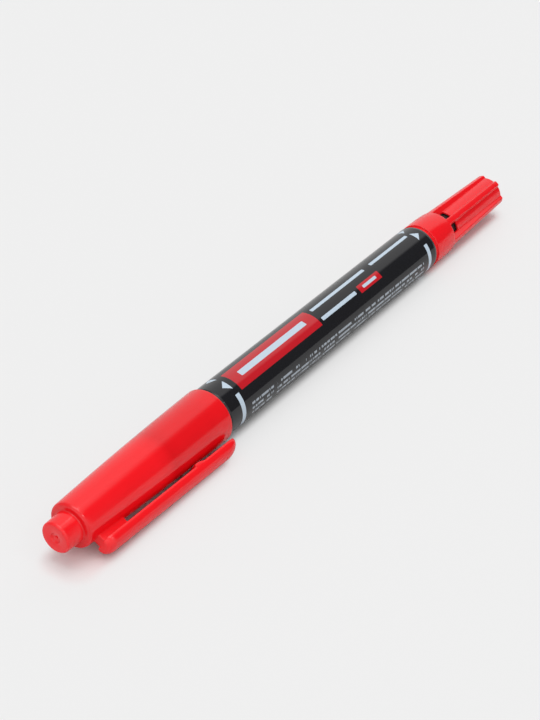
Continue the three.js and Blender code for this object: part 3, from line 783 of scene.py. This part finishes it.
def ribStations():  # (x, crest radius, floor radius, share of the flute's depth reached)
    c = ribbedCap
    edge = c["recessEdge"]
    out = [(c["mouth"], c["recess"] - edge, 0, 0), (c["mouth"] + edge, c["recess"], 0, 0),
           (c["recessEnd"] - edge, c["recess"], 0, 0), (c["recessEnd"], c["recess"] + edge, 0, 0)]
    for i in range(9):  # lip where the skirt steps up from the mouth's recess
        a = math.pi / 2 * i / 8
        x = c["recessEnd"] + c["lip"] * (1 - math.cos(a))
        out.append((x, c["radius"] - c["lip"] * (1 - math.sin(a)), 0, 0))
    for i in range(17):  # straight skirt, then the dome down to the shoulder
        t = i / 16
        drop = (c["radius"] - c["shoulderRadius"]) * t ** 2
        out.append((mix(c["domeFrom"], c["shoulder"] - c["domeGap"], t), c["radius"] - drop, 0, 0))
    for ahead, share in (*c["fluteStart"], (c["ramp"], 1)):
        x = c["shoulder"] + ahead
        out.append((x, crestRadius(x), c["flute"], share))
    for i in range(1, 9):  # flared ribs
        x = c["shoulder"] + c["ramp"] + (c["flareLength"] - c["ramp"]) * i / 8
        out.append((x, crestRadius(x), c["flute"], 1))
    straightEnd = c["end"] - c["endRound"]
    for i in range(1, 13):
        x = mix(c["shoulder"] + c["flareLength"], straightEnd, i / 12)
        out.append((x, crestRadius(x), c["flute"], 1))
    for i in range(1, 9):  # rounded end
        a = math.pi / 2 * i / 8
        drop = c["endRound"] * (1 - math.cos(a))
        x = straightEnd + c["endRound"] * math.sin(a)
        out.append((x, crestRadius(x) - drop, c["flute"] - drop * c["fluteRound"], 1))
    return out


def ribPlace(bm, x, degrees, r):
    a = math.radians(degrees)
    return bm.verts.new((penStart + x * mm, r * mm * math.cos(a), r * mm * math.sin(a)))


def makeRibSector():
    c = ribbedCap
    bm = bmesh.new()
    made = []
    for x, crest, floor, share in ribStations():
        section = ribHalfSection(crest, floor if share else c["flute"], ribWiden(x))
        radii = [(a, mix(crest, r, share)) for a, r in section]
        made.append([ribPlace(bm, x, a, r) for a, r in [(-a, r) for a, r in reversed(radii[1:])] + radii])
    joinRows(bm, made, closed=False)
    for row, x in ((made[0], c["mouth"]), (made[-1], c["end"])):
        hub = ribPlace(bm, x, 0, 0)
        for k in range(len(row) - 1):
            bm.faces.new((row[k], row[k + 1], hub))
    return finishMesh("ribSector", bm)


def makeVentCutter():  # one window, from foot to foot, for the flute that faces +Y
    c = ribbedCap
    bm = bmesh.new()
    start = c["shoulder"] + c["ramp"] / 2
    longSteps, roundSteps = 8, 12
    made = []
    for i in range(longSteps + 1):
        x = mix(start, c["windowEnd"], i / longSteps)
        reach = 180 / c["count"] - c["footDegrees"] * ribWiden(x) - c["windowGap"]
        angles = [mix(-reach, reach, k / roundSteps) for k in range(roundSteps + 1)]
        row = [(a, c["windowTop"]) for a in angles] + [(a, c["windowInner"]) for a in reversed(angles)]
        made.append([ribPlace(bm, x, a, r) for a, r in row])
    joinRows(bm, made)
    for row in (made[0], made[-1]):
        for k in range(roundSteps):
            bm.faces.new((row[k], row[k + 1], row[-2 - k], row[-1 - k]))
    return finishMesh("ventCutter", bm)


def buildRibRing():  # repeats a sector round the pen's axis and closes it into one skin
    tree = bpy.data.node_groups.new("ribRing", "GeometryNodeTree")
    face = tree.interface
    face.new_socket("Geometry", in_out="INPUT", socket_type="NodeSocketGeometry")
    ids = {}
    kinds = (("Rib Count", "Int"), ("First Rib Angle", "Float"), ("Axis Y", "Float"), ("Axis Z", "Float"),
             ("Finish", "Material"))
    for label, kind in kinds:
        ids[label] = face.new_socket(label, in_out="INPUT", socket_type="NodeSocket" + kind).identifier
    face.new_socket("Geometry", in_out="OUTPUT", socket_type="NodeSocketGeometry")
    given = tree.nodes.new("NodeGroupInput").outputs
    out = tree.nodes.new("NodeGroupOutput").inputs
    line = addNode(tree, "GeometryNodeMeshLine")
    line.inputs["Offset"].default_value = (0, 0, 0)
    tree.links.new(given["Rib Count"], line.inputs["Count"])
    index = tree.nodes.new("GeometryNodeInputIndex").outputs[0]
    step = calc(tree, "DIVIDE", math.tau, given["Rib Count"])
    turn = calc(tree, "ADD", calc(tree, "MULTIPLY", index, step), given["First Rib Angle"])
    spin = addNode(tree, "ShaderNodeCombineXYZ")
    tree.links.new(turn, spin.inputs[0])
    copies = addNode(tree, "GeometryNodeInstanceOnPoints")
    tree.links.new(line.outputs[0], copies.inputs["Points"])
    tree.links.new(given["Geometry"], copies.inputs["Instance"])
    tree.links.new(spin.outputs[0], copies.inputs["Rotation"])
    real = addNode(tree, "GeometryNodeRealizeInstances")
    tree.links.new(copies.outputs[0], real.inputs[0])
    weld = addNode(tree, "GeometryNodeMergeByDistance")
    weld.inputs["Distance"].default_value = weldGap
    tree.links.new(real.outputs[0], weld.inputs["Geometry"])
    move = addNode(tree, "GeometryNodeTransform")
    shift = addNode(tree, "ShaderNodeCombineXYZ")
    tree.links.new(given["Axis Y"], shift.inputs[1])
    tree.links.new(given["Axis Z"], shift.inputs[2])
    tree.links.new(shift.outputs[0], move.inputs["Translation"])
    tree.links.new(weld.outputs[0], move.inputs["Geometry"])
    paint = addNode(tree, "GeometryNodeSetMaterial")
    tree.links.new(move.outputs[0], paint.inputs["Geometry"])
    tree.links.new(given["Finish"], paint.inputs["Material"])
    tree.links.new(paint.outputs[0], out[0])
    return tree, ids


def repeatRound(obj, tree, ids, firstDegrees):
    c = ribbedCap
    ring = obj.modifiers.new("ribRing", "NODES")
    ring.node_group = tree
    ring[ids["Rib Count"]] = c["count"]
    ring[ids["First Rib Angle"]] = math.radians(firstDegrees)
    ring[ids["Axis Y"]] = axisY
    ring[ids["Axis Z"]] = axisZ
    ring[ids["Finish"]] = fineRedPlastic
    return bakeModifiers(obj)


def makeRibbedCap():
    c = ribbedCap
    tree, ids = buildRibRing()
    cap = repeatRound(makeRibSector(), tree, ids, c["facing"])
    cap.name = "ribbedCapShell"
    vents = repeatRound(makeVentCutter(), tree, ids, c["facing"] + 180 / c["count"])
    hollow = turnedPiece("capHollow", [
        (c["mouth"] - 1, 0), (c["mouth"] - 1, c["bore"]), (c["boreEnd"], c["bore"]),
        (c["shoulder"], c["bodyBore"]),
        (c["bodyEnd"], c["bodyBore"]), (c["sealStart"], c["sealBore"]), (c["neckEnd"], c["sealBore"]),
        (c["innerEnd"], c["innerEndRadius"]), (c["innerEnd"], 0),
    ], 192)
    combine(cap, hollow, "DIFFERENCE")
    return combine(cap, vents, "DIFFERENCE")


ribbedCapShell = makeRibbedCap()
dress(ribbedCapShell, fineRedPlastic, "fine_cap", "red_plastic", "fine_cap")
print("ribbed cap made,", len(ribbedCapShell.data.polygons), "faces")


# Barrel, film and tips: all turned about the pen's axis

barrel = {
    "radius": 4.78, "bore": 3.88, "broadNeck": 4.28, "fineNeck": 4.16, "broadEnd": 33.03,
    "broadShoulder": 40.43, "fineShoulder": 110.85, "fineEnd": 117.25,
    "bead": 0.03, "beadAt": 4.5, "beadLength": 1.2, "edge": 0.2, "edgeBow": 0.06,
}


def makeBarrel():
    b = barrel

    def neck(end, shoulder, r, way):
        bead = []
        for k in range(6, -1, -1):
            x = shoulder + way * (b["beadAt"] + b["beadLength"] * k / 6)
            bead.append((x, r + b["bead"] * math.sin(math.pi * k / 6)))
        edge, bow, outer = b["edge"], b["edgeBow"], b["radius"]
        return [(end, r - edge), (end - way * edge, r), *bead, (shoulder, r), (shoulder, outer - edge),
                (shoulder - way * bow, outer - bow), (shoulder - way * edge, outer)]

    broad = neck(b["broadEnd"], b["broadShoulder"], b["broadNeck"], -1)
    fine = neck(b["fineEnd"], b["fineShoulder"], b["fineNeck"], 1)
    profile = [(b["broadEnd"], b["bore"]), *broad, *reversed(fine), (b["fineEnd"], b["bore"]),
               (b["broadEnd"], b["bore"])]
    return turnedPiece("barrelBody", profile)


labelTube = {
    "start": 40.88, "end": 110.4, "inner": 4.79, "outer": labelPrint["radius"],
    "edge": 0.03, "edgeDrop": 0.02, "endBand": 0.3,
}


def makeLabelFilm():
    c = labelTube
    profile = [(c["start"], c["inner"])]
    for end, way in ((c["start"], 1), (c["end"], -1)):
        side = [(end, c["outer"] - c["edgeDrop"]), (end + way * c["edge"], c["outer"]),
                (end + way * c["endBand"], c["outer"])]
        profile += side[::way]
    profile += [(c["end"], c["inner"]), (c["start"], c["inner"])]
    return turnedPiece("labelFilm", profile, 256)


labelFilm = makeLabelFilm()

# outlines as (place along the pen, radius)
broadNoseProfile = roundCorners([
    (15.03, 2.28), (15.03, 2.75), (19.83, 3.0), (28.43, 3.0), (31.83, 4.22), (33.0, 4.22), (33.0, 3.85),
    (41.03, 3.85), (41.03, 2.28), (15.03, 2.28),
], 0.18)
bulletNibProfile = arcPoints(10.53, 0, 1.1, 180, 115, 10) + [
    (12.7, 2.12), (12.83, 2.22), (13.0, 2.25), (41.6, 2.25), (41.78, 1.6), (48.03, 1.6), (48.03, 0)]
fineNoseProfile = [
    (109.25, 0.5), (109.25, 3.65), (109.45, 3.85), (117.28, 3.85), (117.28, 4.02), (117.36, 4.1),
    *arcPoints(117.77, 4.02, 0.08, 90, 0, 3), (117.85, 3.05), (117.95, 2.95), (121.75, 2.95), (121.9, 2.9),
    (122.95, 2.47), (123.1, 2.42), (127.35, 2.42),
    *arcPoints(130.95, 1.22, 0.2, 50, 0, 5), (131.15, 0.93), (123.12, 0.93), (123.12, 0.5), (109.25, 0.5)]
nibSleeveProfile = [
    (123.15, 0.5), (123.15, 0.9), (131.15, 0.9), (133.42, 0.69), (133.52, 0.64), (133.55, 0.56),
    (133.55, 0.5), (123.15, 0.5)]
fineNibProfile = [
    (101.75, 0), (101.75, 0.47), (134.2, 0.47), *arcPoints(134.5, 0.08, 0.35, 60, 8, 5), (134.86, 0)]
linerProfile = [
    (1.93, 0), (1.93, 1.72), (5.63, 1.72), *arcPoints(6.0, 3.14, 0.37, 180, 90, 5), (23.83, 3.51),
    (23.83, 3.26), (23.63, 3.06), (6.43, 3.06), (6.43, 0)]

dress(makeBarrel(), blackPlastic, "barrel", "black_plastic", "barrel_tube")
dress(labelFilm, printedFilm, "barrel", "printed_film", "label_sleeve")
for name, profile, material, body, slot, node in (
    ("broadTipHolder", broadNoseProfile, blackPlastic, "barrel", "black_plastic", "broad_nose"),
    ("broadFeltTip", bulletNibProfile, inkedFibre, "barrel", "inked_fibre", "bullet_nib"),
    ("fineTipHolder", fineNoseProfile, blackPlastic, "barrel", "black_plastic", "fine_nose"),
    ("fineTipSleeve", nibSleeveProfile, naturalPlastic, "barrel", "white_plastic", "fine_nib_sleeve"),
    ("fineFeltTip", fineNibProfile, inkedFibre, "barrel", "inked_fibre", "fine_nib"),
    ("sealingCup", linerProfile, naturalPlastic, "large_cap", "clear_plastic", "large_cap_liner"),
):
    dress(turnedPiece(name, profile, 128), material, body, slot, node)
for node, material in (("ink_reservoir", inkedFibre), ("reservoir_film", naturalPlastic)):
    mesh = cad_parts[node].data
    mesh.materials.clear()
    mesh.materials.append(material)
print("barrel and tips made")


# Table, lamps and camera

table = {
    "size": 6.0, "restsAt": 40.2, "alsoRestsAt": 110.4, "shader": {"Roughness": 0.55, "IOR": 1.4},
    # the camera sees a pale table; the pen gets the softer bounce of a greyer one
    "colour": (0.78, 0.78, 0.78, 1), "unseen": (0.66, 0.66, 0.66, 1),
    # white glow in the camera's view, by distance from the pen, that leaves only the close shadow
    "glow": (0.86, 0.86, 0.86, 1), "glowShare": 0.75, "glowFrom": 2.2, "glowTo": 4.6, "halfLength": 69.0,
    "clipEnds": -34.0, "clipFades": -28.0, "clipShadow": 3.2,  # the clip's shadow lies further out
}


def makeTable():
    t = table
    slope = (capShell["mouthRadius"] - labelTube["outer"]) / (t["alsoRestsAt"] - t["restsAt"])
    contact = penPoint(t["restsAt"], 0, 0).x
    half = t["size"] / 2
    square = ((-half, -half), (half, -half), (half, half), (-half, half))
    mesh = bpy.data.meshes.new("table")
    mesh.from_pydata([(x, y, slope * (x - contact)) for x, y in square], [], [(0, 1, 2, 3)])
    material, tree, shader, place = newFinish("tableTop", t["shader"])
    seen = addNode(tree, "ShaderNodeLightPath").outputs["Is Camera Ray"]
    tree.links.new(mixColour(tree, seen, t["unseen"], t["colour"]), shader.inputs["Base Color"])
    spot = addNode(tree, "ShaderNodeSeparateXYZ")
    tree.links.new(place, spot.inputs[0])
    x, y = spot.outputs[0], spot.outputs[1]
    beyond = calc(tree, "SUBTRACT", calc(tree, "ABSOLUTE", x), t["halfLength"] * mm)
    clipRoom = mapRange(tree, x, t["clipEnds"] * mm, t["clipFades"] * mm, t["clipShadow"] * mm, 0.0,
                        curve="LINEAR")
    clipRoom = calc(tree, "MULTIPLY", clipRoom, calc(tree, "LESS_THAN", y, axisY))
    aside = calc(tree, "SUBTRACT", apart(tree, y, axisY), clipRoom)
    away = lengthOf(tree, calc(tree, "MAXIMUM", beyond, 0.0), calc(tree, "MAXIMUM", aside, 0.0))
    rise = mapRange(tree, away, t["glowFrom"] * mm, t["glowTo"] * mm, 0.0, t["glowShare"])
    glow = addNode(tree, "ShaderNodeEmission")
    glow.inputs["Color"].default_value = t["glow"]
    blendShaders(tree, calc(tree, "MULTIPLY", rise, seen), shader, glow, "Material Output")
    mesh.materials.append(material)
    addObject("table", mesh)


makeTable()

view = {
    "place": (-216.353, -141.720, 176.036), "target": (-3.247, 6.539, 0.200), "upright": (-0.00773, 0, 1),
    "lens": 111.216, "sensor": 36, "near": 10.0,
}
eye, aim = Vector(view["place"]) * mm, Vector(view["target"]) * mm
ahead = (aim - eye).normalized()
right = ahead.cross(Vector(view["upright"])).normalized()
upward = right.cross(ahead)
lensData = bpy.data.cameras.new("photoCamera")
lensData.sensor_fit = "HORIZONTAL"
lensData.sensor_width = view["sensor"]
lensData.lens = view["lens"]
lensData.clip_start = view["near"] * mm
camera = addObject("photoCamera", lensData)
camera.matrix_world = Matrix((right, upward, -ahead)).transposed().to_4x4()
camera.location = eye
bpy.context.scene.camera = camera

# each lamp: turn to the right of the view's heading, height angle, distance, width, height (m), power (W)
lamps = {
    "topSoftbox": (0, 88, 2.4, 1.6, 1.6, 16),
    "sideSoftbox": (116, 50, 2.2, 0.26, 0.26, 2.5),
}
heading = Vector((ahead.x, ahead.y, 0)).normalized()
for name, (turn, lift, distance, width, height, power) in lamps.items():
    data = bpy.data.lights.new(name, "AREA")
    data.shape = "RECTANGLE"
    data.size, data.size_y = width, height
    data.energy = power
    a, e = math.radians(turn), math.radians(lift)
    toLamp = (heading * math.cos(a) + right * math.sin(a)) * math.cos(e) + Vector((0, 0, 1)) * math.sin(e)
    lamp = addObject(name, data)
    lamp.location = toLamp * distance
    lamp.rotation_euler = toLamp.to_track_quat("Z", "Y").to_euler()

# bright surroundings with a dark strip and a dimmer side, which the gloss of the pen picks up
studio = {
    # level by angle in degrees from +X
    "round": ((-180, 1.3), (-165, 1.3), (-120, 1.0), (-68, 1.0), (-60, 0.1), (-18, 0.1), (-9, 0.88),
              (55, 0.88), (75, 0.4), (140, 0.5), (165, 1.3)),
    "above": 1.0, "aboveFrom": 48.0, "aboveTo": 58.0,  # level overhead, degrees up where it takes over
    "backdrop": (0.86, 0.86, 0.86, 1),  # what the camera sees past the table
}


def makeWorld():
    s = studio
    world = bpy.data.worlds.new("studio")
    world.use_nodes = True
    tree = world.node_tree
    lit = tree.nodes["Background"]
    lit.inputs["Color"].default_value = (1, 1, 1, 1)
    way = addNode(tree, "ShaderNodeSeparateXYZ")
    tree.links.new(addNode(tree, "ShaderNodeTexCoord").outputs["Generated"], way.inputs[0])
    turn = calc(tree, "ARCTAN2", way.outputs[1], way.outputs[0])
    stops = [(degrees / 360 + 0.5, level) for degrees, level in s["round"]]
    ring = makeRamp(tree, calc(tree, "MULTIPLY_ADD", turn, 1 / math.tau, 0.5), stops)
    climb = calc(tree, "ARCSINE", way.outputs[2])
    height = mapRange(tree, climb, math.radians(s["aboveFrom"]), math.radians(s["aboveTo"]))
    above = (s["above"], s["above"], s["above"], 1)
    tree.links.new(mixColour(tree, height, ring, above), lit.inputs["Strength"])
    backdrop = addNode(tree, "ShaderNodeBackground")
    backdrop.inputs["Color"].default_value = s["backdrop"]
    seen = addNode(tree, "ShaderNodeLightPath").outputs["Is Camera Ray"]
    blendShaders(tree, seen, lit, backdrop, "World Output")
    bpy.context.scene.world = world


makeWorld()
bpy.context.scene.view_settings.view_transform = "Standard"
print("table, camera and lamps set")
